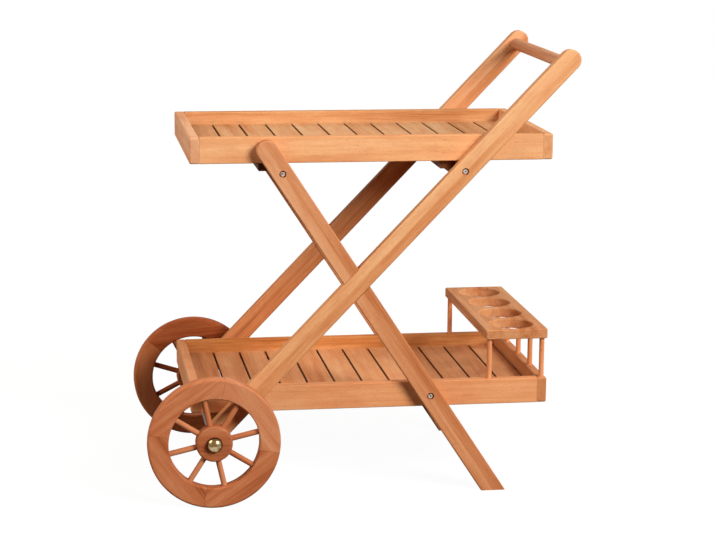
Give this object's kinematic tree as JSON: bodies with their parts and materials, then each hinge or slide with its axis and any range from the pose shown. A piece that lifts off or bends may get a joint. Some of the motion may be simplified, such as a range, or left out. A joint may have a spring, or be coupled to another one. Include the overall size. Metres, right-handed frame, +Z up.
{
  "type": "serving trolley",
  "caption": "Teak serving trolley with slatted upper and lower trays on crossed legs, spoked wooden wheels at one end, a handle bar at the other and a bottle rack on the lower tray.",
  "frame": {"origin": "on the floor, under the middle of the trolley's outline", "axes": "+X from the wheels to the handle, +Y from the front side to the back side, +Z up"},
  "size_m": [0.8338, 0.5786, 0.8656],
  "materials": {
    "teak_tray": "oiled teak, satin",
    "teak_slats": "sanded teak, satin",
    "teak_legs": "oiled teak, satin",
    "teak_handle": "oiled teak, smooth",
    "teak_inner": "sawn teak, matt",
    "teak_wheels": "oiled teak, satin",
    "teak_rack": "oiled teak, satin",
    "dowel_wood": "plain hardwood",
    "axle_steel": "zinc plated",
    "bolt_steel": "stainless",
    "cap_brass": "polished",
    "insert_brass": "plain"
  },
  "bodies": {
    "frame": {"upper_front_rail": "teak_tray", "upper_back_rail": "teak_tray", "upper_wheel_end": "teak_tray", "upper_handle_end": "teak_tray", "upper_slat_01": "teak_slats", "upper_slat_02": "teak_slats", "upper_slat_03": "teak_slats", "upper_slat_04": "teak_slats", "upper_slat_05": "teak_slats", "upper_slat_06": "teak_slats", "upper_slat_07": "teak_slats", "upper_slat_08": "teak_slats", "upper_slat_09": "teak_slats", "upper_slat_10": "teak_slats", "upper_slat_11": "teak_slats", "upper_slat_12": "teak_slats", "upper_ledgers": "teak_inner", "upper_tray_dowels": "dowel_wood", "lower_front_rail": "teak_tray", "lower_back_rail": "teak_tray", "lower_wheel_end": "teak_tray", "lower_handle_end": "teak_tray", "lower_slat_01": "teak_slats", "lower_slat_02": "teak_slats", "lower_slat_03": "teak_slats", "lower_slat_04": "teak_slats", "lower_slat_05": "teak_slats", "lower_slat_06": "teak_slats", "lower_slat_07": "teak_slats", "lower_slat_08": "teak_slats", "lower_slat_09": "teak_slats", "lower_slat_10": "teak_slats", "lower_slat_11": "teak_slats", "lower_slat_12": "teak_slats", "lower_ledgers": "teak_inner", "lower_tray_dowels": "dowel_wood", "front_long_leg": "teak_legs", "front_short_leg": "teak_legs", "back_long_leg": "teak_legs", "back_short_leg": "teak_legs", "handle_bar": "teak_handle", "wheel_side_cross_rail": "teak_inner", "handle_side_cross_rail": "teak_inner", "tray_cleats": "teak_inner", "front_axle_cap": "cap_brass", "back_axle_cap": "cap_brass", "axle_rod": "axle_steel", "axle_washers": "axle_steel", "leg_bolts": "bolt_steel", "barrel_nuts": "bolt_steel", "threaded_inserts": "insert_brass", "bottle_board": "teak_rack", "rack_posts": "teak_rack"},
    "front_wheel": {"front_wheel_rim": "teak_wheels", "front_wheel_hub": "teak_wheels", "front_wheel_spokes": "teak_wheels"},
    "back_wheel": {"back_wheel_rim": "teak_wheels", "back_wheel_hub": "teak_wheels", "back_wheel_spokes": "teak_wheels"}
  },
  "joints": [
    {"name": "front_wheel_spin", "type": "hinge", "parent": "frame", "child": "front_wheel", "pos_m": [-0.28987, -0.2609, 0.127], "axis": [0, 1, 0], "continuous": true},
    {"name": "back_wheel_spin", "type": "hinge", "parent": "frame", "child": "back_wheel", "pos_m": [-0.28987, 0.2609, 0.127], "axis": [0, 1, 0], "continuous": true}
  ]
}
